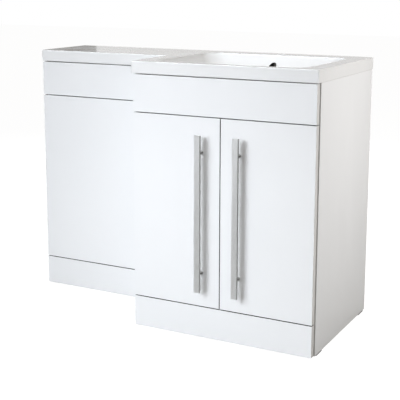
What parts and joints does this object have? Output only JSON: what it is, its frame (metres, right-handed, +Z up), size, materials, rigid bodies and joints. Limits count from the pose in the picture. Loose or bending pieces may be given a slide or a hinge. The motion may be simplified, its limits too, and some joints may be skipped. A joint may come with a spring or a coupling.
{
  "type": "combined bathroom vanity and wc unit",
  "caption": "L-shaped white bathroom unit: a shallow WC housing cabinet beside a deeper two-door vanity, under one cast top with a moulded rectangular bowl.",
  "frame": {"origin": "on the floor, under the middle of the object's box", "axes": "+X to the user's right along the wall, +Y back to the wall, +Z up; the fronts face -Y"},
  "size_m": [1.1, 0.51, 0.837],
  "materials": {
    "cast_top": "gloss",
    "white_board": "gloss",
    "inner_board": "satin",
    "handle_steel": "satin",
    "hinge_steel": "satin",
    "fixing_steel": "gloss",
    "glide_plastic": "matte",
    "clip_plastic": "satin",
    "bumper_rubber": "satin"
  },
  "bodies": {
    "carcass": {"basin_top": "cast_top", "vanity_side_left": "white_board", "vanity_side_right": "white_board", "vanity_base": "inner_board", "vanity_front_rail": "inner_board", "vanity_back_rail": "inner_board", "vanity_foot_rail": "inner_board", "vanity_fascia": "white_board", "vanity_plinth": "white_board", "vanity_shelf": "inner_board", "shelf_pins": "fixing_steel", "vanity_glides": "glide_plastic", "vanity_brackets": "fixing_steel", "wc_side_left": "white_board", "wc_side_right": "white_board", "wc_top_rail": "inner_board", "wc_middle_rail": "inner_board", "wc_base_rail": "inner_board", "wc_back_rail": "inner_board", "wc_access_panel": "white_board", "wc_front_panel": "white_board", "wc_plinth": "white_board", "wc_glides": "glide_plastic", "wc_brackets": "fixing_steel", "panel_clip_sockets": "clip_plastic", "panel_clip_studs": "clip_plastic", "bracket_screws": "fixing_steel", "unit_connectors": "fixing_steel", "cam_locks": "fixing_steel", "cam_bolts": "fixing_steel", "door_bumpers": "bumper_rubber", "left_hinge_plates": "hinge_steel", "right_hinge_plates": "hinge_steel", "left_hinge_arms": "hinge_steel", "right_hinge_arms": "hinge_steel", "hinge_plate_screws": "fixing_steel", "hinge_arm_screws": "fixing_steel"},
    "left_door": {"left_door": "white_board", "left_handle_bar": "handle_steel", "left_handle_posts": "handle_steel", "left_handle_screws": "fixing_steel", "left_hinge_cups": "hinge_steel", "left_hinge_pins": "fixing_steel", "left_cup_screws": "fixing_steel"},
    "right_door": {"right_door": "white_board", "right_handle_bar": "handle_steel", "right_handle_posts": "handle_steel", "right_handle_screws": "fixing_steel", "right_hinge_cups": "hinge_steel", "right_hinge_pins": "fixing_steel", "right_cup_screws": "fixing_steel"}
  },
  "joints": [
    {"name": "left_door_open", "type": "hinge", "parent": "carcass", "child": "left_door", "pos_m": [-0.035, -0.215, 0.393], "axis": [0, 0, -1], "range_deg": [0, 105]},
    {"name": "right_door_open", "type": "hinge", "parent": "carcass", "child": "right_door", "pos_m": [0.534, -0.215, 0.393], "axis": [0, 0, 1], "range_deg": [0, 105]}
  ]
}
